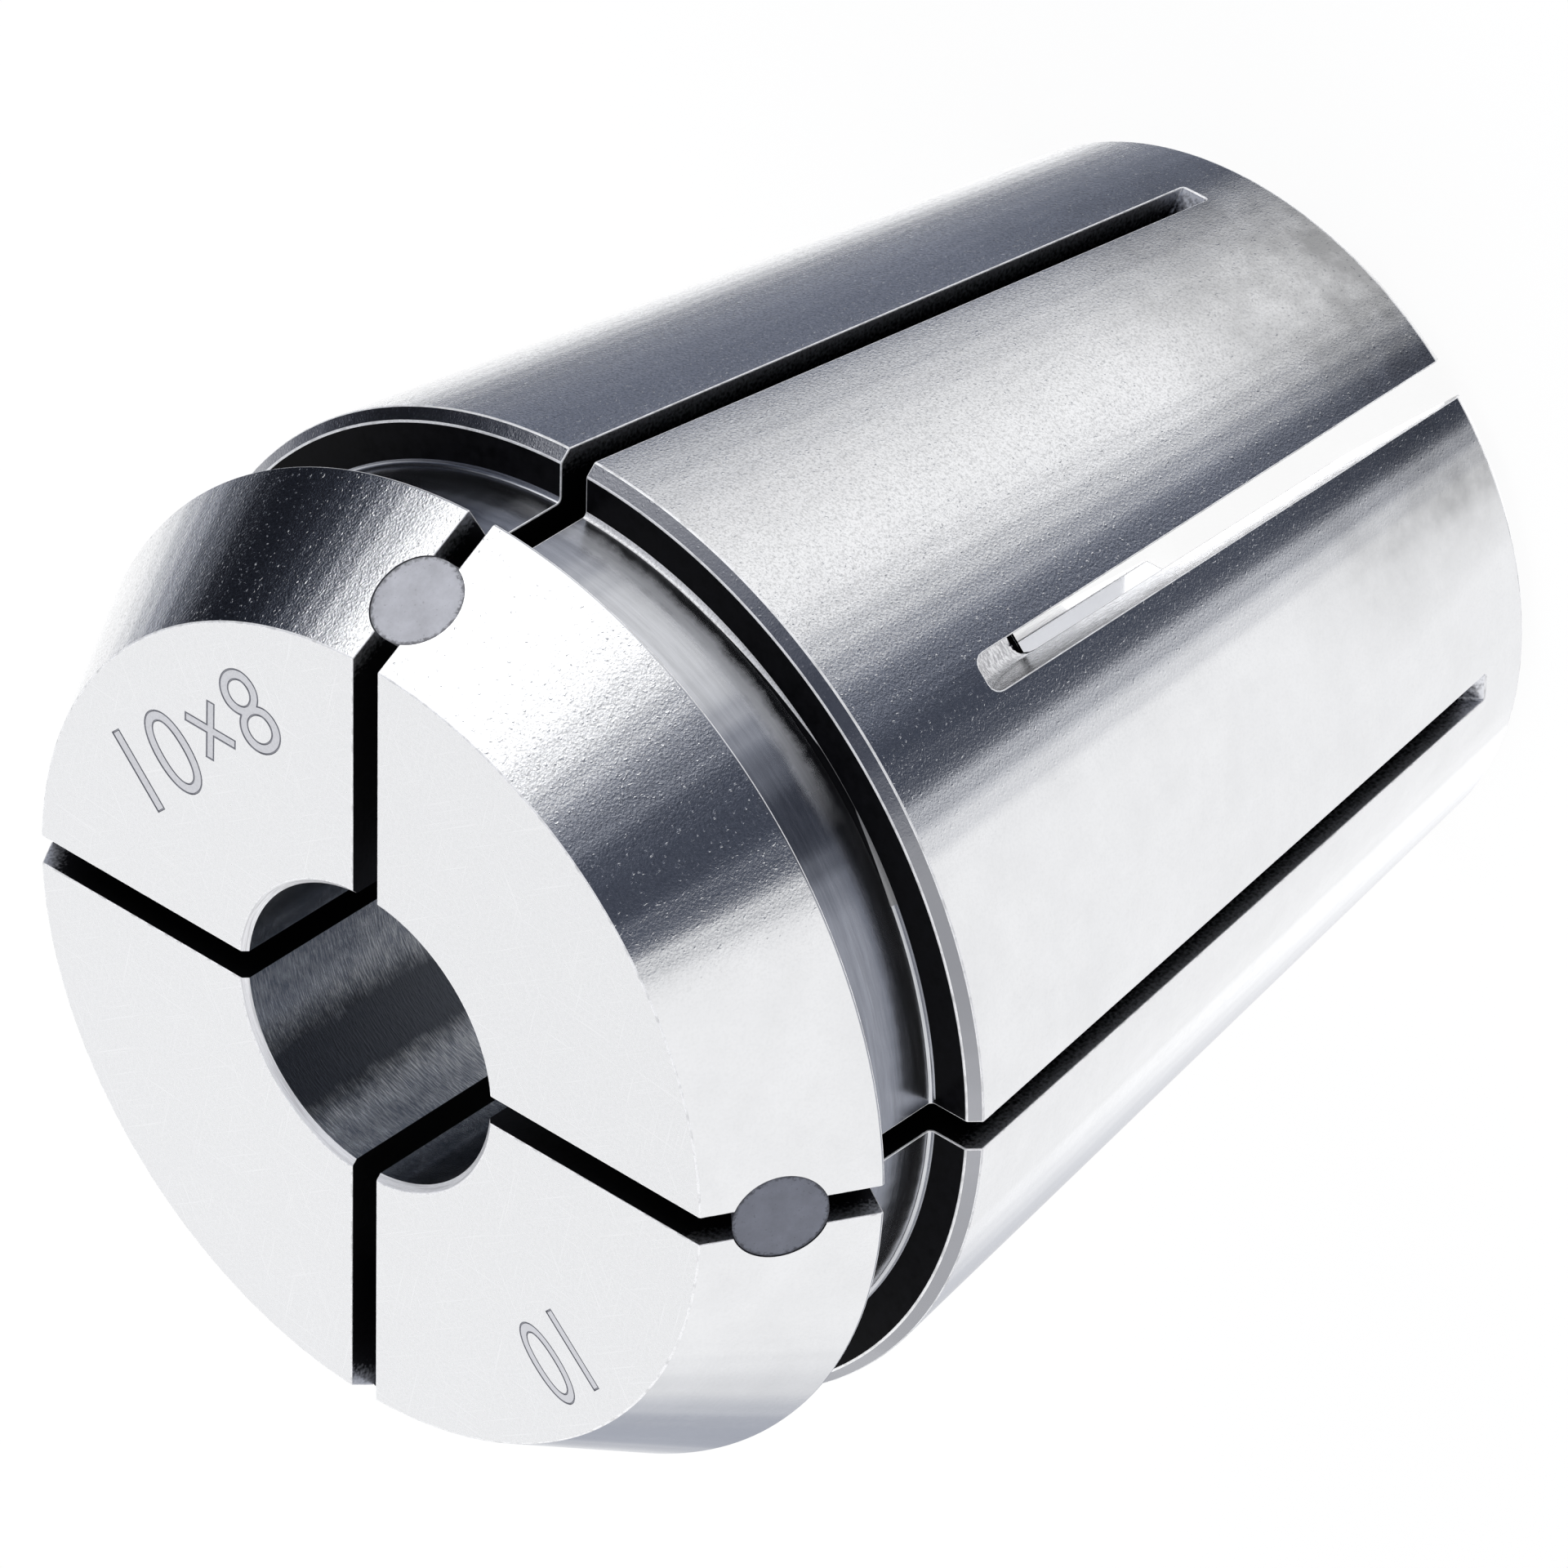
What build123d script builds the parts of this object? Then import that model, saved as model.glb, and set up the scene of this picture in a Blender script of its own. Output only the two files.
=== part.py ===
from build123d import *
import os
from math import cos, radians, sin, sqrt, tan

# Tapping collet, standing on its rear face. Lengths are millimetres and angles are degrees.
# The axis is Z, the rear face lies at Z = 0 and the nose face looks up.

# Outside, as turned and ground
overall_length = 40.0
largest_diameter = 33.0
taper_half_angle = 8.0
rear_chamfer = 0.8
nose_half_angle = 30.0
nose_cone_length = 4.85
nose_rim_step = 0.1           # how far the nose ring's rim lies inside the largest diameter
nose_rim_width = 0.1          # narrow land that breaks the rim's edge
groove_depth = 1.75           # below the largest diameter
groove_mouth_width = 3.9      # from the nose ring's rim to the groove's rear wall
groove_lean = 30.0            # how far the groove's front wall leans away from square
groove_foot_chamfer = 0.28    # in the corner between the groove's floor and its rear wall
shoulder_chamfer = 0.45       # between the groove's rear wall and the taper

# Inside, for the tap's round shank and its square end
bore_diameter = 10.0
bore_mouth_chamfer = 0.2
square_width = 8.1            # across flats, an 8 mm square with 0.1 mm to slide in
square_length = 15.0
square_mouth_chamfer = 0.6

# Slots, sawn by turns from the nose and from the rear
slots_each_way = 4
front_slot_width = 1.0
front_slot_stop = 2.9         # metal left below a front slot, on the taper
front_saw_corner = 0.1        # rounding of the front saw's teeth
rear_slot_width = 1.25
rear_slot_stop = 14.8         # metal left above a rear slot, on the taper
rear_saw_corner = 0.45
saw_radius = 31.5
largest_corner_share = 0.45   # of a slot's width, so that both corners of the saw fit in it

# Sealing plugs, one across each front slot on the nose cone
plug_diameter = 2.95
plug_length = 3.2
plug_centre_drop = 2.15       # from the nose face down to the plug's middle, on the cone
plug_lean = 45.0              # of the plug's axis, up from level
plug_clearance = 0.02
plug_recess = 0.05

# Levels and radii that follow from the sizes above
largest_radius = largest_diameter / 2
groove_radius = largest_radius - groove_depth
rim_radius = largest_radius - nose_rim_step
rim_level = overall_length - nose_cone_length
rim_foot_level = rim_level - nose_rim_width
groove_wall_level = rim_foot_level - groove_mouth_width
taper_top_level = groove_wall_level - shoulder_chamfer
nose_face_radius = rim_radius - nose_cone_length * tan(radians(nose_half_angle))
bore_radius = bore_diameter / 2
cutter_margin = 1.0           # how far a cutting shape stands clear of the metal


def taper_radius(level):
    """Radius of the clamping taper at a height above the rear face."""
    return largest_radius - (taper_top_level - level) * tan(radians(taper_half_angle))


def turned(points):
    """Solid of revolution about Z from a closed outline of (radius, height) points."""
    return revolve(Plane.XZ * make_face(Polyline(*points, close=True)), axis=Axis.Z)


def turned_blank():
    """The collet's outside before it is bored and slit."""
    groove_front_rise = (rim_radius - groove_radius) * tan(radians(groove_lean))
    return turned([
        (0, 0),
        (taper_radius(rear_chamfer) - rear_chamfer, 0),
        (taper_radius(rear_chamfer), rear_chamfer),
        (largest_radius, taper_top_level),
        (largest_radius - shoulder_chamfer, groove_wall_level),
        (groove_radius + groove_foot_chamfer, groove_wall_level),
        (groove_radius, groove_wall_level + groove_foot_chamfer),
        (groove_radius, rim_foot_level - groove_front_rise),
        (rim_radius, rim_foot_level),
        (rim_radius, rim_level),
        (nose_face_radius, overall_length),
        (0, overall_length),
    ])


def shank_bore():
    """Round bore from the nose face down to the square, with its mouth chamfer."""
    mouth_radius = bore_radius + bore_mouth_chamfer
    return turned([
        (0, square_length),
        (bore_radius, square_length),
        (bore_radius, overall_length - bore_mouth_chamfer),
        (mouth_radius, overall_length),
        (mouth_radius, overall_length + cutter_margin),
        (0, overall_length + cutter_margin),
    ])


def driving_square():
    """Square hole from the rear face up to the bore, flared at the rear face."""
    hole = Pos(0, 0, square_length / 2) * Box(square_width, square_width, square_length)
    flare_width = square_width + 2 * square_mouth_chamfer
    flare = loft([
        Rectangle(flare_width, flare_width),
        Pos(0, 0, square_mouth_chamfer) * Rectangle(square_width, square_width),
    ])
    return hole + flare


def saw_drop(radius):
    """How far the saw's edge lies beyond its arbor's level, at a radius of the collet.

    The saw reaches just to the collet's axis, so its arbor runs one saw radius away from it.
    """
    return sqrt(saw_radius ** 2 - (saw_radius - radius) ** 2)


def saw_cut(width, corner, stop_level, entry):
    """One saw cut on the +X side: entry is 1 for a cut from the nose and -1 for one from the rear."""
    reach = largest_radius + cutter_margin
    arbor_level = stop_level + entry * saw_drop(taper_radius(stop_level))
    open_level = arbor_level + entry * (overall_length + cutter_margin)
    middle = reach / 3
    floor = ThreePointArc(
        (0, arbor_level),
        (middle, arbor_level - entry * saw_drop(middle)),
        (reach, arbor_level - entry * saw_drop(reach)),
    )
    sides = Polyline(floor @ 1, (reach, open_level), (0, open_level), floor @ 0)
    blade = extrude(Plane.XZ * make_face(floor + sides), amount=width / 2, both=True)
    floor_edges = blade.edges().filter_by(GeomType.CIRCLE)
    return fillet(floor_edges, radius=min(corner, largest_corner_share * width))


def all_saw_cuts():
    """Front slots on the X and Y axes, and rear slots half-way between them."""
    front = saw_cut(front_slot_width, front_saw_corner, front_slot_stop, 1)
    rear = saw_cut(rear_slot_width, rear_saw_corner, overall_length - rear_slot_stop, -1)
    pitch = 360 / slots_each_way
    cuts = []
    for number in range(slots_each_way):
        cuts.append(Rot(0, 0, number * pitch) * front)
        cuts.append(Rot(0, 0, (number + 0.5) * pitch) * rear)
    return cuts


def plug_seat(number):
    """Plane at a plug's middle on the nose cone, facing out along the plug's axis."""
    radius = nose_face_radius + plug_centre_drop * tan(radians(nose_half_angle))
    lean = radians(plug_lean)
    azimuth = radians(number * 360 / slots_each_way)
    middle = (radius * cos(azimuth), radius * sin(azimuth), overall_length - plug_centre_drop)
    outward = (cos(lean) * cos(azimuth), cos(lean) * sin(azimuth), sin(lean))
    return Plane(origin=middle, z_dir=outward)


def plug_rod(number, radius, sunk):
    """Round rod on a plug's axis that ends well outside the cone and is sunk into it."""
    length = sunk + plug_diameter
    return plug_seat(number) * Pos(0, 0, length / 2 - sunk) * Cylinder(radius, length)


def plug(number, blank):
    """Plug whose outer end follows the cone, set a little below it."""
    rod = plug_rod(number, plug_diameter / 2 - plug_clearance, plug_length - plug_recess)
    outward = plug_seat(number).z_dir
    return Pos(*(outward * -plug_recess)) * (rod & blank)


def collet_body(blank):
    """The one steel piece: bored, drilled for the plugs and slit both ways."""
    body = blank - shank_bore() - driving_square()
    for number in range(slots_each_way):
        body -= plug_rod(number, plug_diameter / 2, plug_length + plug_clearance)
    for cut in all_saw_cuts():
        body -= cut
    return body


os.makedirs("parts", exist_ok=True)
turned_shape = turned_blank()
export_step(collet_body(turned_shape), "parts/collet_body.step")
for slot_number in range(slots_each_way):
    export_step(plug(slot_number, turned_shape), f"parts/slot_plug_{slot_number + 1}.step")
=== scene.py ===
import math

import bpy
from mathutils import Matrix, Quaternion, Vector

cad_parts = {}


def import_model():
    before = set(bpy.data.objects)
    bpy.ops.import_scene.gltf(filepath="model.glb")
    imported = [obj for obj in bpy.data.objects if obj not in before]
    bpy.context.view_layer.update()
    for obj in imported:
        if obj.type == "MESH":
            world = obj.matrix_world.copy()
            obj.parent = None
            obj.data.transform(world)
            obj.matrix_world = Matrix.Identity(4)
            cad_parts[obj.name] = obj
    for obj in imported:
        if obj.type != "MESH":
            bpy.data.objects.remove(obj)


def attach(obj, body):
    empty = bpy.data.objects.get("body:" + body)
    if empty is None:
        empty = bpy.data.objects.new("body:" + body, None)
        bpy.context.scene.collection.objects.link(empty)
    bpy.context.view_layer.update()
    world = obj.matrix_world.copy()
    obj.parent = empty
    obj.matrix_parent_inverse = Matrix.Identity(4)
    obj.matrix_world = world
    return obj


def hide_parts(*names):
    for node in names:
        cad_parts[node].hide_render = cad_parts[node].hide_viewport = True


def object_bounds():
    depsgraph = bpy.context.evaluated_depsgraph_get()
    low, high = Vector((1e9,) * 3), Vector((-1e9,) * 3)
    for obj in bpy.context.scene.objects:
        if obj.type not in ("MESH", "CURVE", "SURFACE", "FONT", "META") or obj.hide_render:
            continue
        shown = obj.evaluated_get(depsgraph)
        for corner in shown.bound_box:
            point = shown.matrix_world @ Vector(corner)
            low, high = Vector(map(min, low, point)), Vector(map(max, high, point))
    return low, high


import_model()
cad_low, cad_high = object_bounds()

# A tapping collet on its rear end. Lengths are metres, written as millimetres times MM.
MM = 0.001

# The turned and ground outside
LENGTH = cad_high.z
LARGEST_RADIUS = 16.5 * MM
TAPER_SLOPE = math.tan(math.radians(8))
REAR_CHAMFER = 0.8 * MM
NOSE_SLOPE = math.tan(math.radians(30))
NOSE_CONE_LENGTH = 4.85 * MM
RIM_RADIUS = LARGEST_RADIUS - 0.1 * MM
RIM_WIDTH = 0.1 * MM
GROOVE_RADIUS = LARGEST_RADIUS - 1.75 * MM
GROOVE_MOUTH = 3.9 * MM
GROOVE_FRONT_SLOPE = math.tan(math.radians(30))
GROOVE_FOOT = 0.16 * MM
SHOULDER = 0.36 * MM

# The bore and the square
BORE_RADIUS = 5.0 * MM
BORE_MOUTH = 0.2 * MM
SQUARE_WIDTH = 8.1 * MM
SQUARE_LENGTH = 15.0 * MM
SQUARE_MOUTH = 0.6 * MM

# The slots, four from each end
SLOTS_EACH_WAY = 4
FRONT_SLOT_WIDTH = 1.0 * MM
FRONT_SLOT_STOP = 2.9 * MM
FRONT_SAW_CORNER = 0.1 * MM
REAR_SLOT_WIDTH = 1.25 * MM
REAR_SLOT_STOP = LENGTH - 14.8 * MM
REAR_SAW_CORNER = 0.45 * MM
SAW_RADIUS = 31.5 * MM

# The sealing plugs
PLUG_RADIUS = 1.475 * MM
PLUG_LENGTH = 3.2 * MM
PLUG_DROP = 2.15 * MM
PLUG_LEAN = math.radians(45)
PLUG_GAP = 0.03 * MM
PLUG_RECESS = 0.04 * MM

# The sizes engraved on the nose face
MARK_SIZE = 4.1 * MM
MARK_THINNED = 0.03 * MM
MARK_POCKET = 0.006 * MM
MARK_LINE = 0.07 * MM

# Where the sandy side, the painted shade by the rear end, the less metallic belt in the groove and the
# bore's painted dark reflection lie, as directions round the axis
SANDY_AZIMUTH = math.radians(25)
REAR_SHADE_AZIMUTH = math.radians(-25)
SHADE_STREAK_AZIMUTH = math.radians(-58.5)
DULL_BELT_AZIMUTH = math.radians(-22)
PAINTED_BAND_AZIMUTH = math.radians(137)

# The painted highlight along the groove's foot, a bright wedge: its tip, its turns past and before the tip,
# and where it ends
WEDGE_TIP = math.radians(-42)
WEDGE_RISE = math.radians(20)
WEDGE_GAP = math.radians(8)
WEDGE_BACK = math.radians(20)
WEDGE_END = 0.0

# How finely round shapes are divided, so that no slot's side falls close to a vertex
OUTSIDE_SEGMENTS = 232
BORE_SEGMENTS = 100
SAW_SEGMENTS = 360
PLUG_SEGMENTS = 64
FOOT_STEPS = 5

# How edges are broken and smoothed, and the margins for cutting and for picking points by their place
EDGE_BREAK = 0.045 * MM
SHARP = math.radians(30)
SMOOTH = math.radians(32)
MARGIN = 1.0 * MM
TINY = 0.001 * MM

# Heights and radii that follow
RIM_LEVEL = LENGTH - NOSE_CONE_LENGTH
RIM_FOOT = RIM_LEVEL - RIM_WIDTH
GROOVE_WALL = RIM_FOOT - GROOVE_MOUTH
TAPER_TOP = GROOVE_WALL - SHOULDER
NOSE_RADIUS = RIM_RADIUS - NOSE_CONE_LENGTH * NOSE_SLOPE


def taper_radius(level):
    """Radius of the clamping taper at a height."""
    return LARGEST_RADIUS - (TAPER_TOP - level) * TAPER_SLOPE


def groove_foot():
    """The rounded corner between the groove's rear wall and its floor."""
    turns = [math.radians(90 * step / FOOT_STEPS) for step in range(FOOT_STEPS + 1)]
    centre = Vector((GROOVE_RADIUS + GROOVE_FOOT, GROOVE_WALL + GROOVE_FOOT))
    return [tuple(centre - GROOVE_FOOT * Vector((math.sin(turn), math.cos(turn)))) for turn in turns]


OUTLINE = [
    (taper_radius(REAR_CHAMFER) - REAR_CHAMFER, 0.0),
    (taper_radius(REAR_CHAMFER), REAR_CHAMFER),
    (LARGEST_RADIUS, TAPER_TOP),
    (LARGEST_RADIUS - SHOULDER, GROOVE_WALL),
    *groove_foot(),
    (GROOVE_RADIUS, RIM_FOOT - (RIM_RADIUS - GROOVE_RADIUS) * GROOVE_FRONT_SLOPE),
    (RIM_RADIUS, RIM_FOOT),
    (RIM_RADIUS, RIM_LEVEL),
    (NOSE_RADIUS, LENGTH),
]


# Modelling by hand

def direction(azimuth, elevation):
    """The way that points out at an azimuth round the axis and an elevation above level."""
    level = math.cos(elevation)
    return Vector((level * math.cos(azimuth), level * math.sin(azimuth), math.sin(elevation)))


def only(piece):
    """Leaves one object selected and active."""
    bpy.ops.object.select_all(action="DESELECT")
    piece.select_set(True)
    bpy.context.view_layer.objects.active = piece


def named(name):
    """Names the object just added, puts its place into its mesh and returns it."""
    piece = bpy.context.active_object
    piece.name = piece.data.name = name
    bpy.ops.object.transform_apply(location=True, rotation=True, scale=True)
    return piece


def turned(name, outline, segments, turn=0.0):
    """Solid of revolution: a disc at the outline's first radius and height, drawn up through the rest."""
    radius, level = outline[0]
    bpy.ops.object.select_all(action="DESELECT")
    bpy.ops.mesh.primitive_circle_add(
        vertices=segments, radius=radius, fill_type="NGON", location=(0, 0, level), rotation=(0, 0, turn))
    piece = named(name)
    bpy.ops.object.mode_set(mode="EDIT")
    bpy.ops.mesh.select_all(action="SELECT")
    for next_radius, next_level in outline[1:]:
        share = next_radius / radius
        bpy.ops.mesh.extrude_region_move(TRANSFORM_OT_translate={"value": (0, 0, next_level - level)})
        bpy.ops.transform.resize(value=(share, share, 1), center_override=(0, 0, next_level))
        radius, level = next_radius, next_level
    bpy.ops.mesh.select_all(action="SELECT")
    bpy.ops.mesh.normals_make_consistent(inside=False)
    bpy.ops.object.mode_set(mode="OBJECT")
    return piece


def boolean(piece, tool, operation):
    """Cuts a piece with a tool, or keeps what they share, and takes the tool away."""
    only(piece)
    step = piece.modifiers.new(operation.lower(), "BOOLEAN")
    step.operation = operation
    step.solver = "EXACT"
    step.material_mode = "TRANSFER"
    step.object = tool
    bpy.ops.object.modifier_apply(modifier=step.name)
    bpy.data.objects.remove(tool)


def saw_drop(radius):
    """How far the saw's edge lies beyond its arbor, at a radius of the collet."""
    return math.sqrt(SAW_RADIUS ** 2 - (SAW_RADIUS - radius) ** 2)


def saw_cut(width, corner, stop_level, entry, azimuth, finish):
    """Tool for one slot: a saw blade that touches the axis, drawn out past the end that it entered."""
    arbor_level = stop_level + entry * saw_drop(taper_radius(stop_level))
    bpy.ops.object.select_all(action="DESELECT")
    bpy.ops.mesh.primitive_cylinder_add(
        vertices=SAW_SEGMENTS, radius=SAW_RADIUS, depth=width,
        location=(SAW_RADIUS, 0, arbor_level), rotation=(math.pi / 2, 0, 0))
    blade = named("saw_cut")

    # The half on the entry's side is drawn out past the end
    bpy.ops.object.mode_set(mode="EDIT")
    bpy.ops.mesh.select_all(action="DESELECT")
    bpy.ops.object.mode_set(mode="OBJECT")
    for vertex in blade.data.vertices:
        vertex.select = entry * (vertex.co.z - arbor_level) > TINY
    bpy.ops.object.mode_set(mode="EDIT")
    bpy.ops.transform.translate(value=(0, 0, entry * (LENGTH + MARGIN)))

    # The cutting edge gets rounded corners
    bpy.ops.mesh.select_mode(type="EDGE")
    bpy.ops.mesh.select_all(action="DESELECT")
    bpy.ops.object.mode_set(mode="OBJECT")
    for edge in blade.data.edges:
        ends = [blade.data.vertices[i].co for i in edge.vertices]
        below = all(entry * (end.z - arbor_level) < TINY for end in ends)
        edge.select = below and abs(ends[0].y - ends[1].y) < TINY
    bpy.ops.object.mode_set(mode="EDIT")
    bpy.ops.mesh.bevel(offset=corner, segments=4, affect="EDGES", clamp_overlap=True)
    bpy.ops.mesh.select_mode(type="VERT")
    bpy.ops.object.mode_set(mode="OBJECT")

    blade.rotation_euler.z = azimuth
    bpy.ops.object.transform_apply(rotation=True)
    blade.data.materials.append(finish)
    return blade


def plug_axis(number):
    """Middle of a plug on the nose cone, the way that it faces, and its azimuth."""
    azimuth = number * math.tau / SLOTS_EACH_WAY
    radius = NOSE_RADIUS + PLUG_DROP * NOSE_SLOPE
    middle = Vector((radius * math.cos(azimuth), radius * math.sin(azimuth), LENGTH - PLUG_DROP))
    return middle, direction(azimuth, PLUG_LEAN), azimuth


def plug_rod(name, number, radius, sunk):
    """Round rod on a plug's axis, from its sunk end to well outside the cone."""
    middle, outward, azimuth = plug_axis(number)
    length = sunk + 2 * PLUG_RADIUS
    bpy.ops.object.select_all(action="DESELECT")
    bpy.ops.mesh.primitive_cylinder_add(
        vertices=PLUG_SEGMENTS, radius=radius, depth=length,
        location=middle + outward * (length / 2 - sunk), rotation=(0, math.pi / 2 - PLUG_LEAN, azimuth))
    return named(name)


def gap_to_outline(point):
    """How far a point lies from the turned outside, where the bore's mouth isn't counted."""
    place = Vector((math.hypot(point.x, point.y), point.z))
    past_mouth = place.x > BORE_RADIUS + BORE_MOUTH / 2
    gaps = [place.y, LENGTH - place.y if past_mouth else LENGTH]
    for first, last in zip(OUTLINE, OUTLINE[1:]):
        start = Vector(first)
        along = Vector(last) - start
        share = min(1.0, max(0.0, (place - start).dot(along) / along.length_squared))
        gaps.append((place - start - along * share).length)
    return min(gaps)


def break_edges(body):
    """A fine bevel on every sharp edge of the outside, the slots' edges too."""
    only(body)
    bpy.ops.object.mode_set(mode="EDIT")
    bpy.ops.mesh.select_mode(type="EDGE")
    bpy.ops.mesh.select_all(action="DESELECT")
    bpy.ops.mesh.edges_select_sharp(sharpness=SHARP)
    bpy.ops.object.mode_set(mode="OBJECT")
    outside = [gap_to_outline(vertex.co) < 10 * TINY for vertex in body.data.vertices]
    for edge in body.data.edges:
        if edge.select:
            edge.select = all(outside[i] for i in edge.vertices)
    bpy.ops.object.mode_set(mode="EDIT")
    # The bevels take the edge finish, whose brightness is a painted highlight
    bpy.ops.mesh.bevel(offset=EDGE_BREAK, segments=2, affect="EDGES", clamp_overlap=False,
                       material=list(body.data.materials).index(edge_steel))
    bpy.ops.mesh.select_mode(type="VERT")
    bpy.ops.object.mode_set(mode="OBJECT")


def smoothed(piece):
    """Smooth faces with crisp edges, where each large face keeps its own direction.

    The modifier leaves faces of less than a square centimetre as they are, so it works on an enlarged piece.
    """
    only(piece)
    bpy.ops.object.shade_smooth_by_angle(angle=SMOOTH)
    piece.scale = (1 / MM, 1 / MM, 1 / MM)
    bpy.ops.object.transform_apply(scale=True)
    weights = piece.modifiers.new("weights", "WEIGHTED_NORMAL")
    weights.keep_sharp = True
    weights.weight = 100
    weights.thresh = 0.0
    bpy.ops.object.modifier_apply(modifier=weights.name)
    piece.scale = (MM, MM, MM)
    bpy.ops.object.transform_apply(scale=True)


# Materials

class Nodes:
    """A short way to write a material's nodes."""

    def __init__(self, tree):
        self.tree = tree

    def add(self, kind, **settings):
        node = self.tree.nodes.new(kind)
        for key, value in settings.items():
            setattr(node, key, value)
        return node

    def link(self, source, target):
        self.tree.links.new(source, target)

    def math(self, operation, first, second=None):
        node = self.add("ShaderNodeMath", operation=operation)
        for socket, value in zip(node.inputs, (first, second)):
            if value is None:
                continue
            if isinstance(value, (int, float)):
                socket.default_value = value
            else:
                self.link(value, socket)
        return node.outputs[0]

    def hypot(self, x, y):
        squares = self.math("ADD", self.math("MULTIPLY", x, x), self.math("MULTIPLY", y, y))
        return self.math("SQRT", squares)

    def noise(self, place, scale, detail=2.0, roughness=0.5):
        node = self.add("ShaderNodeTexNoise")
        node.inputs["Scale"].default_value = scale
        node.inputs["Detail"].default_value = detail
        node.inputs["Roughness"].default_value = roughness
        self.link(place, node.inputs["Vector"])
        return node.outputs["Fac"]

    def mapped(self, value, low, high, to_low=0.0, to_high=1.0):
        node = self.add("ShaderNodeMapRange")
        for key, number in (("From Min", low), ("From Max", high), ("To Min", to_low), ("To Max", to_high)):
            node.inputs[key].default_value = number
        self.link(value, node.inputs["Value"])
        return node.outputs["Result"]

    def mapping(self, place, rotation=(0, 0, 0), scale=(1, 1, 1)):
        node = self.add("ShaderNodeMapping")
        node.inputs["Rotation"].default_value = rotation
        node.inputs["Scale"].default_value = scale
        self.link(place, node.inputs["Vector"])
        return node.outputs["Vector"]

    def bump(self, height, distance, under=None):
        node = self.add("ShaderNodeBump")
        node.inputs["Distance"].default_value = distance
        self.link(height, node.inputs["Height"])
        if under is not None:
            self.link(under, node.inputs["Normal"])
        return node.outputs["Normal"]


def new_material(name):
    """An empty node material with its shader, and the place on the piece in millimetres."""
    material = bpy.data.materials.new(name)
    material.use_nodes = True
    nodes = Nodes(material.node_tree)
    shader = material.node_tree.nodes["Principled BSDF"]
    coordinates = nodes.add("ShaderNodeTexCoord")
    in_mm = nodes.mapping(coordinates.outputs["Object"], scale=(1 / MM, 1 / MM, 1 / MM))
    return material, nodes, shader, in_mm


def distance_from_axis(nodes, place):
    """A place's distance from the axis, its height and its direction round the axis."""
    parts = nodes.add("ShaderNodeSeparateXYZ")
    nodes.link(place, parts.inputs[0])
    x, y, z = parts.outputs
    return nodes.hypot(x, y), z, nodes.math("ARCTAN2", y, x)


def distance_and_depth(nodes, place):
    """A place's distance from the axis, and its depth below the taper or the nose cone."""
    radius, z, _ = distance_from_axis(nodes, place)
    taper = nodes.math("ADD", nodes.math("MULTIPLY", z, TAPER_SLOPE), taper_radius(0) / MM)
    cone_foot = (RIM_RADIUS + RIM_LEVEL * NOSE_SLOPE) / MM
    cone = nodes.math("ADD", nodes.math("MULTIPLY", z, -NOSE_SLOPE), cone_foot)
    return radius, nodes.math("SUBTRACT", nodes.math("MINIMUM", taper, cone), radius)


def around_axis(nodes, place, stretch, along, outward):
    """Place as (direction round the axis, distance along it, distance from it), each times its own share."""
    radius, z, angle = distance_from_axis(nodes, place)
    joined = nodes.add("ShaderNodeCombineXYZ")
    nodes.link(nodes.math("MULTIPLY", angle, stretch), joined.inputs[0])
    nodes.link(nodes.math("MULTIPLY", z, along), joined.inputs[1])
    nodes.link(nodes.math("MULTIPLY", radius, outward), joined.inputs[2])
    return joined.outputs[0]


def blend(nodes, share, first, second):
    """Colour between two, by a share from 0 to 1."""
    mix = nodes.add("ShaderNodeMix", data_type="RGBA")
    for socket, colour in (("A", first), ("B", second)):
        if isinstance(colour, tuple):
            mix.inputs[socket].default_value = (*colour, 1)
        else:
            nodes.link(colour, mix.inputs[socket])
    nodes.link(share, mix.inputs["Factor"])
    return mix.outputs["Result"]


def shade(colour, share):
    """A colour made lighter or darker."""
    return tuple(min(1.0, share * part) for part in colour)


def toward(nodes, place, azimuth):
    """How far a place lies out from the axis in one direction."""
    parts = nodes.add("ShaderNodeSeparateXYZ")
    nodes.link(nodes.mapping(place, rotation=(0, 0, -azimuth)), parts.inputs[0])
    return parts.outputs[0]


def turned_from(nodes, angle, azimuth):
    """How far a direction round the axis lies from an azimuth, to either side."""
    return nodes.math("ABSOLUTE", nodes.math("SUBTRACT", angle, azimuth))


def painted_rear_shade(nodes, place):
    """Painted shade by the rear end, cloudy: wide on one side, and a narrow streak next to it."""
    _, z, angle = distance_from_axis(nodes, place)
    low = nodes.mapped(z, 12.0, 1.0)
    side = nodes.mapped(toward(nodes, place, REAR_SHADE_AZIMUTH), 8.5, 12.0)
    shade_streak = nodes.mapped(turned_from(nodes, angle, SHADE_STREAK_AZIMUTH), 0.13, 0.04, 0.0, 0.8)
    cloud = nodes.mapped(nodes.noise(place, 0.45, 4.0, 0.65), 0.3, 0.7, 0.5, 1.3)
    return nodes.math("MULTIPLY", nodes.math("MULTIPLY", nodes.math("MAXIMUM", side, shade_streak), low), cloud)


def ground_round_axis(nodes, shader, lean):
    """Reflections drawn out along the axis, as marks that run round it do."""
    shader.inputs["Anisotropic"].default_value = lean
    shader.inputs["Anisotropic Rotation"].default_value = 0.25
    round_axis = nodes.add("ShaderNodeTangent", direction_type="RADIAL", axis="Z")
    nodes.link(round_axis.outputs[0], shader.inputs["Tangent"])


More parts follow.
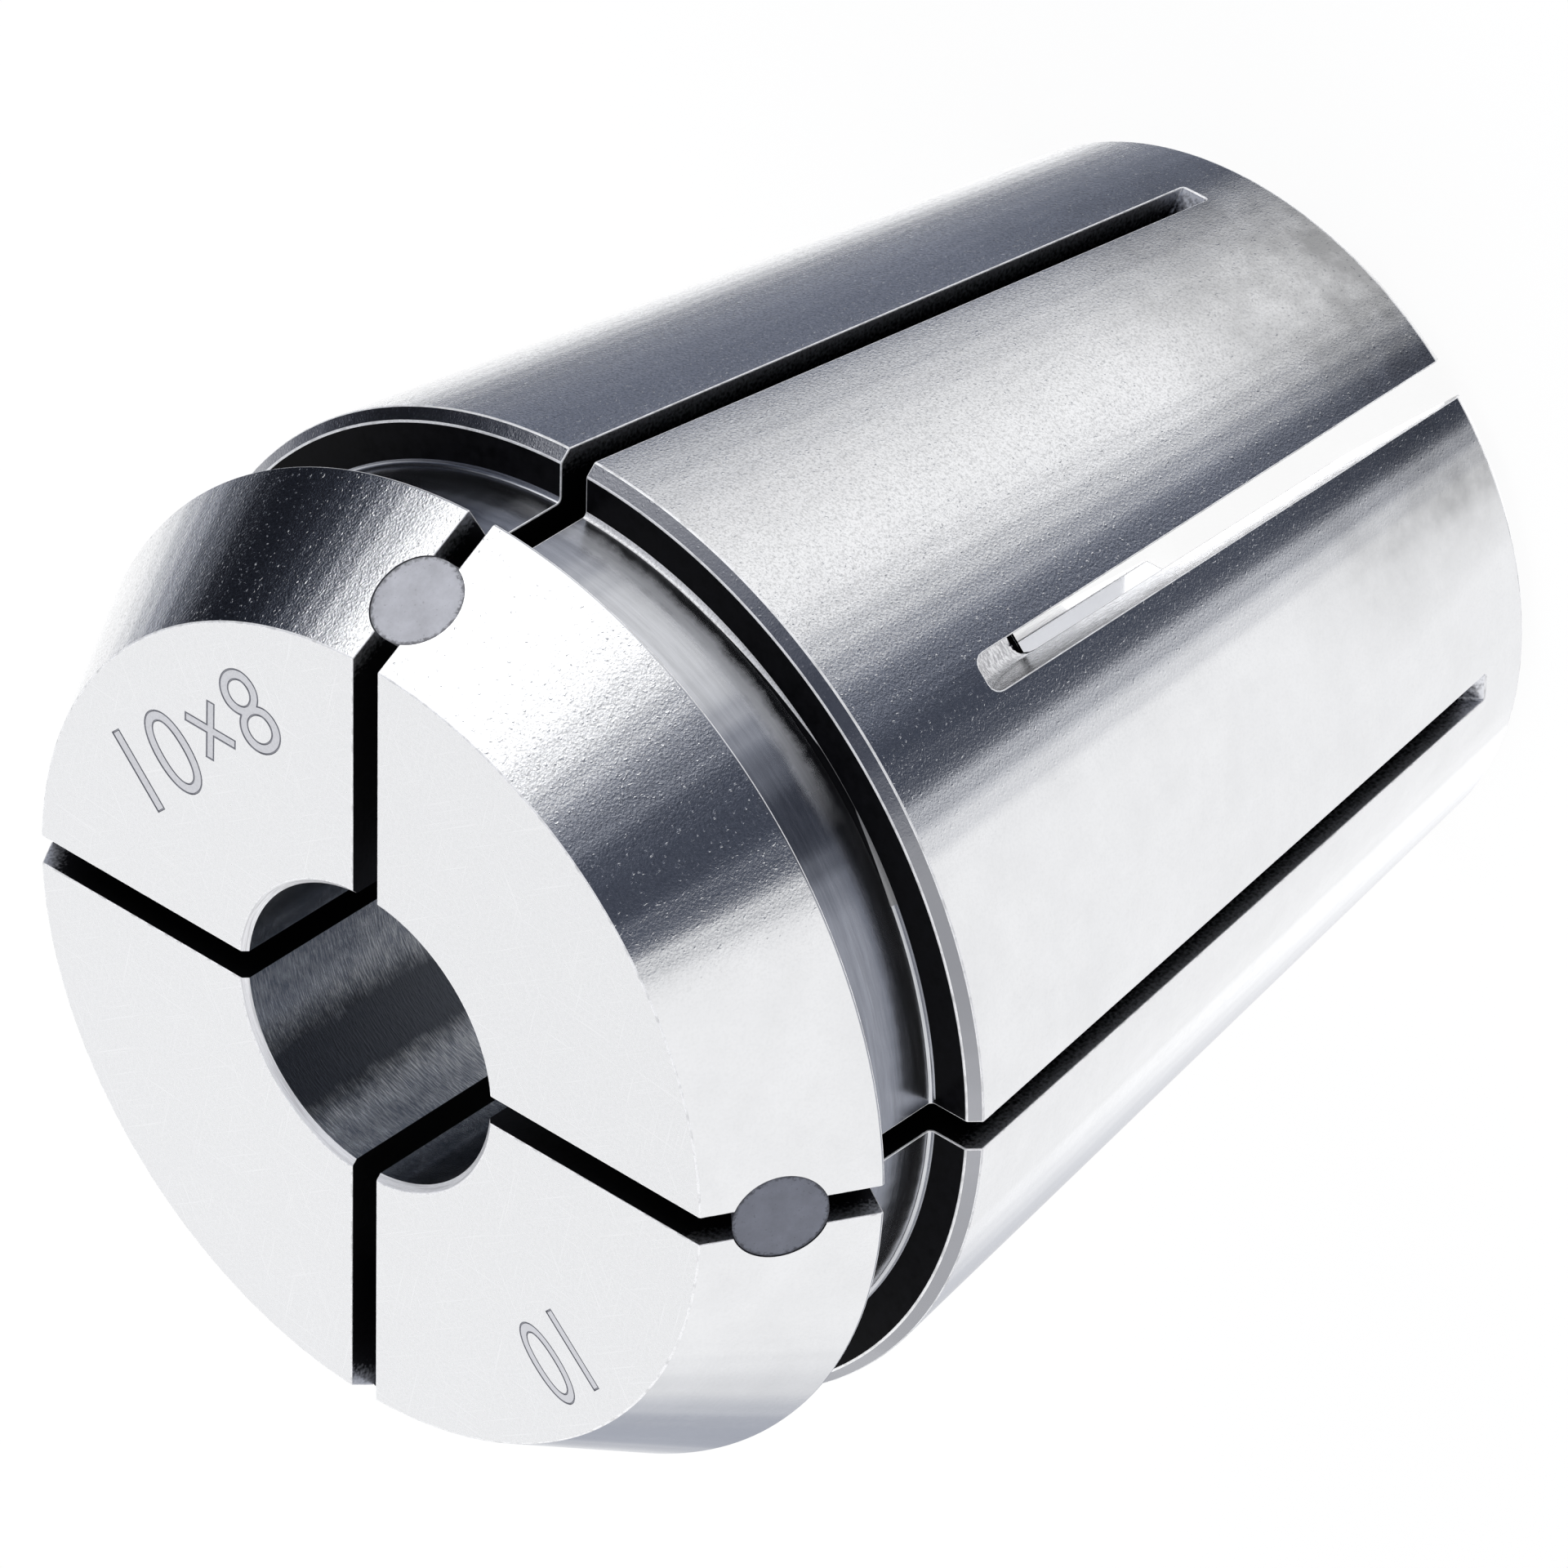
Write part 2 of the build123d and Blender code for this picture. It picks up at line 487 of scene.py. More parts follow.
def steel(name, colour, roughness, sand, rings, lean=0.0, speckle=0.1, flecks=0.0, rear_shaded=False):
    """Bare steel: sandy grain with flecks and sparks, over fine rings from turning or grinding.

    The heights of sand, rings and flecks are millimetres.
    """
    material, nodes, shader, place = new_material(name)
    shader.inputs["Metallic"].default_value = 1.0
    ground_round_axis(nodes, shader, lean)
    sandy = nodes.mapped(toward(nodes, place, SANDY_AZIMUTH), 1.0, 9.0, 0.1, 1.0)
    grain = nodes.noise(place, 5.0, 5.0, 0.78)
    fleck = nodes.mapped(nodes.noise(place, 12.0, 2.0, 0.6), 0.35, 0.75)
    spark = nodes.mapped(nodes.noise(place, 8.0, 1.0, 0.5), 0.65, 0.78)
    ring = nodes.noise(around_axis(nodes, place, 3.0, 10.0, 10.0), 1.0, 1.0)

    cloud = nodes.mapped(nodes.noise(place, 0.5, 3.0, 0.6), 0.3, 0.7)
    tone = blend(nodes, cloud, shade(colour, 1 - speckle / 10), shade(colour, 1 + speckle / 10))
    sanded = nodes.math("MULTIPLY", nodes.mapped(nodes.noise(place, 11.0, 3.0, 0.7), 0.54, 0.36), sandy)
    tone = blend(nodes, sanded, tone, shade(colour, 1 - speckle))
    # Painted shade darkens the steel by the rear end
    if rear_shaded:
        tone = blend(nodes, painted_rear_shade(nodes, place), tone, shade(colour, 0.4))
    nodes.link(tone, shader.inputs["Base Color"])
    nodes.link(nodes.mapped(grain, 0.3, 0.7, roughness - 0.03, roughness + 0.03), shader.inputs["Roughness"])

    normal = None
    for height, most in ((grain, sand), (fleck, flecks), (spark, 1.6 * flecks)):
        normal = nodes.bump(nodes.math("MULTIPLY", height, sandy), most * MM, normal)
    nodes.link(nodes.bump(ring, rings * MM, normal), shader.inputs["Normal"])
    return material


def painted_bright_coat(name, colour, roughness, along, across):
    """A painted highlight: a pale, partly matt coat, uneven along its length and lined across it."""
    material, nodes, shader, place = new_material(name)
    shader.inputs["Metallic"].default_value = 0.2
    patchiness = nodes.noise(around_axis(nodes, place, along, across, across), 1.0, 3.0, 0.6)
    tone = blend(nodes, nodes.mapped(patchiness, 0.38, 0.52), shade(colour, 0.75), colour)
    nodes.link(tone, shader.inputs["Base Color"])
    nodes.link(nodes.mapped(patchiness, 0.3, 0.7, roughness + 0.1, roughness - 0.1), shader.inputs["Roughness"])
    nodes.link(nodes.bump(patchiness, 0.004 * MM), shader.inputs["Normal"])
    return material


def bored(name, pale, dark, roughness):
    """Bored steel with streaks that run a little way round the axis, darker deeper in as painted shade, and
    a dark band along one side that is a painted reflection.
    """
    material, nodes, shader, place = new_material(name)
    shader.inputs["Metallic"].default_value = 1.0
    ground_round_axis(nodes, shader, 0.8)
    _, z, angle = distance_from_axis(nodes, place)
    streak = nodes.noise(around_axis(nodes, place, 12.0, 14.0, 14.0), 1.0, 3.0, 0.65)
    cloud = nodes.noise(place, 1.4, 3.0, 0.6)
    mottled = nodes.math("ADD", streak, nodes.mapped(cloud, 0.3, 0.7, -0.08, 0.08))
    tone = blend(nodes, nodes.mapped(mottled, 0.36, 0.64), dark, pale)
    # Painted shade: darker deeper in the bore
    deep_shade = nodes.mapped(z, LENGTH / MM - 1, LENGTH / MM - 8, 0.0, 0.6)
    tone = blend(nodes, deep_shade, tone, shade(dark, 0.5))
    # Painted reflection: a dark band along the axis on one side, ragged at its edges
    ragged = nodes.mapped(nodes.math("ADD", streak, cloud), 0.7, 1.3, -0.04, 0.04)
    aside = nodes.math("ADD", turned_from(nodes, angle, PAINTED_BAND_AZIMUTH), ragged)
    tone = blend(nodes, nodes.mapped(aside, 0.33, 0.18), tone, shade(dark, 0.25))
    nodes.link(tone, shader.inputs["Base Color"])
    uneven = nodes.mapped(streak, 0.3, 0.7, roughness + 0.06, roughness - 0.06)
    nodes.link(uneven, shader.inputs["Roughness"])
    nodes.link(nodes.bump(streak, 0.012 * MM), shader.inputs["Normal"])
    return material


def scratched_steel(name, colour, roughness):
    """Flat-ground steel with hairline scratches that run every way."""
    material, nodes, shader, place = new_material(name)
    shader.inputs["Metallic"].default_value = 1.0
    hairs = None
    for turn in (12, 57, 96, 151):
        turned_place = nodes.mapping(place, rotation=(0, 0, math.radians(turn)))
        hair_place = nodes.mapping(turned_place, scale=(0.3, 13.0, 1.0))
        hair = nodes.mapped(nodes.noise(hair_place, 1.0, 1.0), 0.64, 0.76)
        hairs = hair if hairs is None else nodes.math("MAXIMUM", hairs, hair)
    grain = nodes.noise(place, 9.0, 2.0)
    tone = blend(nodes, nodes.mapped(grain, 0.3, 0.7), shade(colour, 0.96), shade(colour, 1.02))
    tone = blend(nodes, hairs, tone, shade(colour, 1.04))
    nodes.link(tone, shader.inputs["Base Color"])
    nodes.link(nodes.mapped(grain, 0.3, 0.7, roughness - 0.03, roughness + 0.03), shader.inputs["Roughness"])
    normal = nodes.bump(grain, 0.001 * MM)
    nodes.link(nodes.bump(hairs, -0.0008 * MM, normal), shader.inputs["Normal"])
    return material


def turned_floor(name, colour):
    """The groove's floor: turned bright, and less metallic in a belt above its foot on one side."""
    material, nodes, shader, place = new_material(name)
    z = distance_from_axis(nodes, place)[1]
    wander = nodes.mapped(nodes.noise(place, 1.2, 4.0, 0.7), 0.3, 0.7, -0.12, 0.12)
    height = nodes.math("ADD", nodes.math("SUBTRACT", z, GROOVE_WALL / MM), wander)
    belt = nodes.math("MINIMUM", nodes.mapped(height, 0.35, 0.75), nodes.mapped(height, 1.4, 1.0))
    side = nodes.mapped(toward(nodes, place, DULL_BELT_AZIMUTH), 12.9, 14.2)
    dull_belt = nodes.math("MULTIPLY", belt, side)
    nodes.link(nodes.mapped(dull_belt, 0.0, 1.0, 1.0, 0.4), shader.inputs["Metallic"])
    streak = nodes.noise(around_axis(nodes, place, 5.0, 5.0, 5.0), 1.0, 4.0, 0.7)
    tone = blend(nodes, nodes.mapped(streak, 0.35, 0.65), shade(colour, 0.86), shade(colour, 1.08))
    nodes.link(tone, shader.inputs["Base Color"])
    nodes.link(nodes.mapped(streak, 0.3, 0.7, 0.2, 0.26), shader.inputs["Roughness"])
    nodes.link(nodes.bump(streak, 0.002 * MM), shader.inputs["Normal"])
    return material


def painted_dark(name, colour):
    """Steel painted dark and uneven, as a painted reflection of the dark it mirrors."""
    material, nodes, shader, place = new_material(name)
    shader.inputs["Specular IOR Level"].default_value = 0.03
    blotches = nodes.noise(place, 3.0, 3.0, 0.6)
    tone = blend(nodes, nodes.mapped(blotches, 0.3, 0.7), shade(colour, 0.6), shade(colour, 1.6))
    nodes.link(tone, shader.inputs["Base Color"])
    nodes.link(nodes.mapped(blotches, 0.3, 0.7, 0.3, 0.5), shader.inputs["Roughness"])
    return material


def painted_foot_highlight(name, pale, dark):
    """The groove's foot: a painted highlight in a wedge from one tip up to the wall, and painted dark beside
    it.
    """
    material, nodes, shader, place = new_material(name)
    shader.inputs["Specular IOR Level"].default_value = 0.06
    _, z, angle = distance_from_axis(nodes, place)
    past_tip = nodes.math("SUBTRACT", angle, WEDGE_TIP)
    after = nodes.mapped(past_tip, 0.0, WEDGE_RISE)
    before = nodes.mapped(past_tip, -WEDGE_GAP, -WEDGE_BACK)
    height = nodes.mapped(z, GROOVE_WALL / MM, (GROOVE_WALL + GROOVE_FOOT) / MM)
    highlight = nodes.mapped(nodes.math("SUBTRACT", nodes.math("MAXIMUM", after, before), height), -0.03, 0.03)
    patchiness = nodes.noise(place, 12.0, 2.0, 0.6)
    tone = blend(nodes, nodes.mapped(patchiness, 0.38, 0.52), shade(pale, 0.75), pale)
    tone = blend(nodes, nodes.mapped(past_tip, -0.12, 0.0), shade(pale, 0.35), tone)
    nodes.link(blend(nodes, highlight, dark, tone), shader.inputs["Base Color"])
    nodes.link(nodes.mapped(highlight, 0.0, 1.0, 0.0, 0.3), shader.inputs["Metallic"])
    nodes.link(nodes.mapped(patchiness, 0.3, 0.7, 0.4, 0.25), shader.inputs["Roughness"])
    return material


def sawn_rear_steel(name, pale, dark):
    """Bright slot walls with a dark band by the bore as painted shade, saw marks down one side and a
    speckled end.
    """
    material, nodes, shader, place = new_material(name)
    shader.inputs["Metallic"].default_value = 1.0
    _, z, angle = distance_from_axis(nodes, place)
    radius, depth = distance_and_depth(nodes, place)
    coarse = nodes.noise(place, 5.0, 3.0, 0.6)
    # Painted shade: a dark band where the slot walls meet the bore
    ragged = nodes.math("ADD", radius, nodes.mapped(coarse, 0.3, 0.7, -0.1, 0.1))
    bore_shade = nodes.mapped(ragged, BORE_RADIUS / MM + 0.45, BORE_RADIUS / MM + 0.3)

    saw_mark = nodes.noise(around_axis(nodes, place, 0.0, 6.0, 0.6), 1.0, 3.0, 0.6)
    one_side = nodes.mapped(nodes.math("COSINE", nodes.math("MULTIPLY", angle, 2.0)), 0.01, -0.01)
    near_edge = nodes.math("ADD", saw_mark, nodes.mapped(depth, 0.3, 5.0, -0.16, 0.1))
    marked = nodes.math("MULTIPLY", nodes.mapped(near_edge, 0.46, 0.34, 0.0, 0.4), one_side)

    arbor_level = REAR_SLOT_STOP - saw_drop(taper_radius(REAR_SLOT_STOP))
    across = nodes.math("SUBTRACT", radius, SAW_RADIUS / MM)
    up = nodes.math("SUBTRACT", z, arbor_level / MM)
    reach = nodes.hypot(across, up)
    at_end = nodes.mapped(reach, SAW_RADIUS / MM - 0.3, SAW_RADIUS / MM - 0.1)
    speckled = nodes.math("MULTIPLY", at_end, nodes.mapped(coarse, 0.6, 0.4, 0.3, 0.6))

    dimmed = nodes.math("MAXIMUM", speckled, nodes.math("MAXIMUM", bore_shade, marked))
    nodes.link(blend(nodes, dimmed, pale, dark), shader.inputs["Base Color"])
    nodes.link(blend(nodes, dimmed, (1.0, 1.0, 1.0), dark), shader.inputs["Specular Tint"])
    nodes.link(nodes.mapped(coarse, 0.3, 0.7, 0.2, 0.34), shader.inputs["Roughness"])
    nodes.link(nodes.bump(coarse, 0.003 * MM), shader.inputs["Normal"])
    return material


def sawn_front_steel(name, pale, dark):
    """Sawn slot walls: bare near the taper, and darker deeper in the slot as painted shade."""
    material, nodes, shader, place = new_material(name)
    shader.inputs["Metallic"].default_value = 1.0
    shader.inputs["Roughness"].default_value = 0.4
    depth = distance_and_depth(nodes, place)[1]
    grain = nodes.noise(place, 8.0, 2.0)
    ragged = nodes.math("ADD", depth, nodes.mapped(grain, 0.3, 0.7, -0.3, 0.3))
    # Painted shade: darker with depth in the slot
    tone = blend(nodes, nodes.mapped(ragged, 0.1, 0.8), pale, dark)
    nodes.link(tone, shader.inputs["Base Color"])
    nodes.link(nodes.bump(grain, 0.006 * MM), shader.inputs["Normal"])
    return material


def compound(name, colour, number):
    """Matte sealing compound, trimmed smooth, cloudy, with fine dark specks and a ragged dark rim."""
    material, nodes, shader, place = new_material(name)
    shader.inputs["Specular IOR Level"].default_value = 0.25
    middle, _, azimuth = plug_axis(number)
    on_axis = nodes.add("ShaderNodeMapping", vector_type="TEXTURE")
    on_axis.inputs["Location"].default_value = middle / MM
    on_axis.inputs["Rotation"].default_value = (0, math.pi / 2 - PLUG_LEAN, azimuth)
    nodes.link(place, on_axis.inputs["Vector"])
    radius = distance_from_axis(nodes, on_axis.outputs["Vector"])[0]
    cloud = nodes.noise(place, 1.1, 4.0, 0.7)
    crumbs = nodes.noise(place, 7.0, 3.0, 0.7)
    ragged = nodes.math("ADD", radius, nodes.mapped(crumbs, 0.3, 0.7, -0.1, 0.1))
    rim = nodes.mapped(ragged, PLUG_RADIUS / MM - 0.145, PLUG_RADIUS / MM - 0.045, 0.0, 0.8)
    speck = nodes.mapped(nodes.noise(place, 11.0, 1.0), 0.68, 0.76, 0.0, 0.3)
    tone = blend(nodes, nodes.mapped(cloud, 0.32, 0.68), shade(colour, 0.86), shade(colour, 1.1))
    tone = blend(nodes, nodes.math("MAXIMUM", speck, rim), tone, shade(colour, 0.25))
    nodes.link(tone, shader.inputs["Base Color"])
    nodes.link(nodes.mapped(cloud, 0.3, 0.7, 0.6, 0.75), shader.inputs["Roughness"])
    nodes.link(nodes.bump(nodes.noise(place, 4.0, 4.0, 0.7), 0.01 * MM), shader.inputs["Normal"])
    return material


ground_steel = steel("ground_steel_taper", (0.79, 0.795, 0.81), roughness=0.15, sand=0.0045, rings=0.0006,
                     lean=0.5, speckle=0.28, flecks=0.004, rear_shaded=True)
face_steel = scratched_steel("ground_steel_face", (0.82, 0.825, 0.84), roughness=0.26)
turned_steel = turned_floor("turned_steel_groove", (0.56, 0.57, 0.6))
# The groove's rear wall is painted dark, standing in for the dark it mirrors
wall_steel = painted_dark("painted_dark_groove_wall", (0.004, 0.004, 0.005))
foot_steel = painted_foot_highlight("painted_highlight_groove_foot", pale=(0.99, 0.99, 1.0), dark=(0.004, 0.004, 0.005))
shoulder_steel = steel("turned_steel_shoulder", (0.34, 0.345, 0.37), roughness=0.22, sand=0.004,
                       rings=0.0006, flecks=0.003)
bored_steel = bored("ground_steel_bore", pale=(0.95, 0.97, 1.0), dark=(0.4, 0.43, 0.5), roughness=0.2)
broached_steel = steel("broached_steel_square", (0.6, 0.605, 0.62), roughness=0.14, sand=0.0004, rings=0.0)
front_saw_steel = sawn_front_steel("sawn_steel_front_slots", pale=(0.75, 0.76, 0.8),
                                   dark=(0.03, 0.03, 0.035))
rear_saw_steel = sawn_rear_steel("sawn_steel_rear_slots", pale=(0.8, 0.805, 0.82),
                                 dark=(0.06, 0.06, 0.07))
# The edges and the bore's mouth are bright with painted highlights
edge_steel = painted_bright_coat("painted_highlight_edge", (0.99, 0.99, 1.0), roughness=0.3, along=30.0, across=2.5)
mouth_steel = painted_bright_coat("turned_steel_mouth", (0.9, 0.9, 0.92), roughness=0.3, along=3.0, across=18.0)
mark_steel = steel("engraved_steel_pocket", (0.66, 0.665, 0.7), roughness=0.4, sand=0.002, rings=0.0)
line_steel = steel("engraved_steel_line", (0.34, 0.345, 0.38), roughness=0.5, sand=0.004, rings=0.0)

# In the order of the body's material slots
TURNED_FINISHES = (
    ground_steel, face_steel, turned_steel, shoulder_steel, wall_steel, edge_steel, foot_steel)

# The compound's colour differs from plug to plug as painted light and shade, lightest on the plug that faces
# the key lamp
PLUG_LIT_AND_SHADED_COLOURS = ((0.54, 0.545, 0.585), (0.34, 0.345, 0.38), (0.26, 0.27, 0.31), (0.19, 0.2, 0.24))


# The collet's one piece of steel

def turned_finish(middle):
    """The finish of a turned face, by the place of its middle."""
    level = middle.z
    if level > LENGTH - TINY or level < TINY:
        return face_steel
    if abs(level - GROOVE_WALL) < 2 * TINY:
        return wall_steel
    if GROOVE_WALL < level < GROOVE_WALL + GROOVE_FOOT:
        # The foot's painted highlight lies in this wedge
        by_wedge = WEDGE_TIP - WEDGE_BACK < math.atan2(middle.y, middle.x) < WEDGE_END
        return foot_steel if by_wedge else turned_steel
    if GROOVE_WALL < level < RIM_LEVEL:
        return turned_steel
    if TAPER_TOP < level < GROOVE_WALL:
        return shoulder_steel
    return ground_steel


def paint_turned_faces(body):
    """Gives the nose face, the taper, the shoulder and the groove each their own finish."""
    for finish in TURNED_FINISHES:
        body.data.materials.append(finish)
    for face in body.data.polygons:
        face.material_index = TURNED_FINISHES.index(turned_finish(face.center))


def brighten_mouth(body):
    """Gives the bore's mouth chamfer its own bright finish, a painted highlight."""
    body.data.materials.append(mouth_steel)
    highlight = list(body.data.materials).index(mouth_steel)
    for face in body.data.polygons:
        middle = face.center
        at_nose = LENGTH - BORE_MOUTH < middle.z < LENGTH - TINY
        by_bore = math.hypot(middle.x, middle.y) < BORE_RADIUS + BORE_MOUTH
        looks_up = face.normal.z > 0.3
        if at_nose and by_bore and looks_up:
            face.material_index = highlight


def bore_and_square(body):
    """Bores the body from the nose and broaches its square from the rear."""
    mouth = BORE_RADIUS + BORE_MOUTH
    bore_outline = [
        (BORE_RADIUS, SQUARE_LENGTH),
        (BORE_RADIUS, LENGTH - BORE_MOUTH),
        (mouth, LENGTH),
        (mouth, LENGTH + MARGIN),
    ]
    corner = SQUARE_WIDTH / 2 * math.sqrt(2)
    flare = corner + SQUARE_MOUTH * math.sqrt(2)
    square_outline = [
        (flare, -MARGIN),
        (flare, 0.0),
        (corner, SQUARE_MOUTH),
        (corner, SQUARE_LENGTH),
    ]
    bore = turned("bore", bore_outline, segments=BORE_SEGMENTS, turn=math.pi / BORE_SEGMENTS)
    square = turned("square", square_outline, segments=4, turn=math.pi / 4)
    for tool, finish in ((bore, bored_steel), (square, broached_steel)):
        tool.data.materials.append(finish)
        boolean(body, tool, "DIFFERENCE")


def slit(body):
    """Saws the slots from both ends by turns."""
    pitch = math.tau / SLOTS_EACH_WAY
    for number in range(SLOTS_EACH_WAY):
        front = saw_cut(FRONT_SLOT_WIDTH, FRONT_SAW_CORNER, FRONT_SLOT_STOP, entry=1,
                        azimuth=number * pitch, finish=front_saw_steel)
        boolean(body, front, "DIFFERENCE")
        rear = saw_cut(REAR_SLOT_WIDTH, REAR_SAW_CORNER, REAR_SLOT_STOP, entry=-1,
                       azimuth=(number + 0.5) * pitch, finish=rear_saw_steel)
        boolean(body, rear, "DIFFERENCE")


def mark_outline(words):
    """Numbers as a flat text on the nose face, with their tops outwards."""
    bpy.ops.object.select_all(action="DESELECT")
    bpy.ops.object.text_add()
    mark = bpy.context.active_object
    mark.data.body = words
    mark.data.size = MARK_SIZE
    mark.data.offset = -MARK_THINNED
    mark.data.align_x = "CENTER"
    mark.data.align_y = "CENTER"
    return mark


def placed_mark(mark, azimuth, reach, spread, finish):
    """Makes the text a mesh and puts it on the nose face."""
    only(mark)
    bpy.ops.object.convert(target="MESH")
    mark = bpy.context.active_object
    mark.scale = (spread, 1, 1)
    mark.location = (reach * math.cos(azimuth), reach * math.sin(azimuth), LENGTH)
    mark.rotation_euler.z = azimuth - math.pi / 2
    bpy.ops.object.transform_apply(location=True, rotation=True, scale=True)
    mark.data.materials.clear()
    mark.data.materials.append(finish)
    return mark


def engrave(body, words, azimuth, reach, spread):
    """Cuts plain numbers into the nose face: a faint pocket, then a finer, deeper line round it."""
    pocket = mark_outline(words)
    pocket.data.extrude = MARK_POCKET
    boolean(body, placed_mark(pocket, azimuth, reach, spread, mark_steel), "DIFFERENCE")
    line = mark_outline(words)
    line.data.fill_mode = "NONE"
    line.data.bevel_depth = MARK_LINE / 2
    line.data.bevel_resolution = 1
    boolean(body, placed_mark(line, azimuth, reach, spread, line_steel), "DIFFERENCE")


def collet():
    """The whole steel body, in place of the plainer solid."""
    body = turned("collet_steel", OUTLINE, OUTSIDE_SEGMENTS)
    paint_turned_faces(body)
    bore_and_square(body)
    slit(body)
    break_edges(body)
    brighten_mouth(body)
    for number in range(SLOTS_EACH_WAY):
        hole = plug_rod("plug_hole", number, PLUG_RADIUS, PLUG_LENGTH + PLUG_GAP)
        hole.data.materials.append(front_saw_steel)
        boolean(body, hole, "DIFFERENCE")
    engrave(body, "10×8", azimuth=math.radians(44), reach=10.0 * MM, spread=1.0)
    engrave(body, "10", azimuth=math.radians(-133.5), reach=11.0 * MM, spread=0.72)
    smoothed(body)
    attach(body, "root")
    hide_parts("collet_body")


def sealing_plug(number):
    """One plug, cut to the cone and set a little below it."""
    plug = plug_rod(f"sealing_plug_{number + 1}", number, PLUG_RADIUS - PLUG_GAP, PLUG_LENGTH)
    boolean(plug, turned("blank", OUTLINE, OUTSIDE_SEGMENTS), "INTERSECT")
    only(plug)
    bpy.ops.transform.translate(value=plug_axis(number)[1] * -PLUG_RECESS)
    bpy.ops.object.transform_apply(location=True)
    plug.data.materials.clear()
    plug.data.materials.append(compound(f"sealing_compound_{number + 1}", PLUG_LIT_AND_SHADED_COLOURS[number], number))
    smoothed(plug)
    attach(plug, "root")
    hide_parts(f"slot_plug_{number + 1}")


collet()
for plug_number in range(SLOTS_EACH_WAY):
    sealing_plug(plug_number)


# Camera, floor and light

SENSOR_WIDTH = 36.0
FOCAL_LENGTH = 286.2
CAMERA_DISTANCE = 382.46 * MM
CAMERA_ELEVATION = math.radians(37.283)
CAMERA_AZIMUTH = math.radians(-42.319)
CAMERA_ROLL = math.radians(-122.129)
AIM_LEVEL = 21.654 * MM
AIM_ASIDE = -0.269 * MM
TABLE_SIZE = 6.0
TABLE_GLOW = 1.04
TABLE_GLOW_SHARE = 0.9


def hung(name, holder, place, turn):
    """A lamp or a camera at a place, turned as asked."""
    held = bpy.data.objects.new(name, holder)
    held.location = place
    held.rotation_mode = "QUATERNION"
    held.rotation_quaternion = turn
    bpy.context.scene.collection.objects.link(held)
    return held


def camera():
    """The photograph's view, from above and to one side, with the picture turned."""
    back = direction(CAMERA_AZIMUTH, CAMERA_ELEVATION)
    right = Vector((0, 0, 1)).cross(back).normalized()
    lens = bpy.data.cameras.new("camera")
    lens.lens = FOCAL_LENGTH
    lens.sensor_width = SENSOR_WIDTH
    lens.clip_start = 0.01
    lens.clip_end = 20.0
    place = Vector((0, 0, AIM_LEVEL)) + right * AIM_ASIDE + back * CAMERA_DISTANCE
    turn = (-back).to_track_quat("-Z", "Y") @ Quaternion((0, 0, 1), CAMERA_ROLL)
    bpy.context.scene.camera = hung("camera", lens, place, turn)


def floor():
    """A table that takes the collet's shadow, and that the camera sees as white paper."""
    bpy.ops.object.select_all(action="DESELECT")
    bpy.ops.mesh.primitive_plane_add(size=TABLE_SIZE)
    table = named("table")
    material, nodes, shader, _ = new_material("white_table")
    shader.inputs["Base Color"].default_value = (0.85, 0.85, 0.86, 1)
    shader.inputs["Roughness"].default_value = 0.9
    shader.inputs["Specular IOR Level"].default_value = 0.1
    glow = nodes.add("ShaderNodeEmission")
    glow.inputs["Color"].default_value = (1, 1, 1, 1)
    glow.inputs["Strength"].default_value = TABLE_GLOW
    rays = nodes.add("ShaderNodeLightPath")
    mix = nodes.add("ShaderNodeMixShader")
    nodes.link(nodes.math("MULTIPLY", rays.outputs["Is Camera Ray"], TABLE_GLOW_SHARE), mix.inputs[0])
    nodes.link(shader.outputs["BSDF"], mix.inputs[1])
    nodes.link(glow.outputs["Emission"], mix.inputs[2])
    output = material.node_tree.nodes["Material Output"]
    nodes.link(mix.outputs["Shader"], output.inputs["Surface"])
    table.data.materials.append(material)
    table.visible_glossy = False


def glowing_disc(name, radius, level, strength):
    """A glowing disc inside the collet or under it, no lamp and hidden from the camera, which the collet's
    own walls mirror: painted light.
    """
    bpy.ops.object.select_all(action="DESELECT")
    bpy.ops.mesh.primitive_circle_add(vertices=64, radius=radius, fill_type="NGON", location=(0, 0, level))
    disc = named(name)
    material, nodes, shader, _ = new_material(name)
    shader.inputs["Base Color"].default_value = (0.8, 0.8, 0.8, 1)
    shader.inputs["Emission Color"].default_value = (1, 1, 1, 1)
    shader.inputs["Emission Strength"].default_value = strength
    disc.data.materials.append(material)
    disc.visible_camera = False
    disc.visible_shadow = False


# The white tent's brightness round the collet, as (direction in degrees, brightness): steeply below it, less
# steeply below, level with it and overhead. Two dark gaps between its panels stand out in the steel.
TENT_LOW = [
    (-180, 1.08), (-82, 1.08), (-70, 0.6), (-62, 0.08), (-46, 0.06), (-34, 0.25),
    (-18, 0.8), (-6, 1.25), (20, 1.0), (42, 0.75), (54, 0.2), (62, 0.14),
    (78, 0.22), (94, 0.42), (101, 0.05), (106, 0.5), (112, 1.3),
]
TENT_MIDDLE = [
    (-180, 0.7), (-165, 0.5), (-75, 0.34), (-60, 0.04), (-46, 0.04), (-30, 0.42),
    (-15, 1.1), (16, 1.1), (28, 0.5), (45, 0.35), (60, 0.05), (88, 0.02),
    (100, 0.4), (110, 1.1), (135, 1.2), (150, 0.65), (158, 0.45),
]
TENT_HIGH = [
    (-180, 1.0), (-165, 1.07), (-66, 1.07), (-58, 0.12), (-48, 0.05), (-36, 0.08),
    (-24, 0.42), (-12, 1.1), (0, 1.9), (34, 1.9), (44, 1.7), (50, 0.3),
    (58, 0.05), (70, 0.01), (88, 0.01), (98, 0.3), (110, 1.2),
]
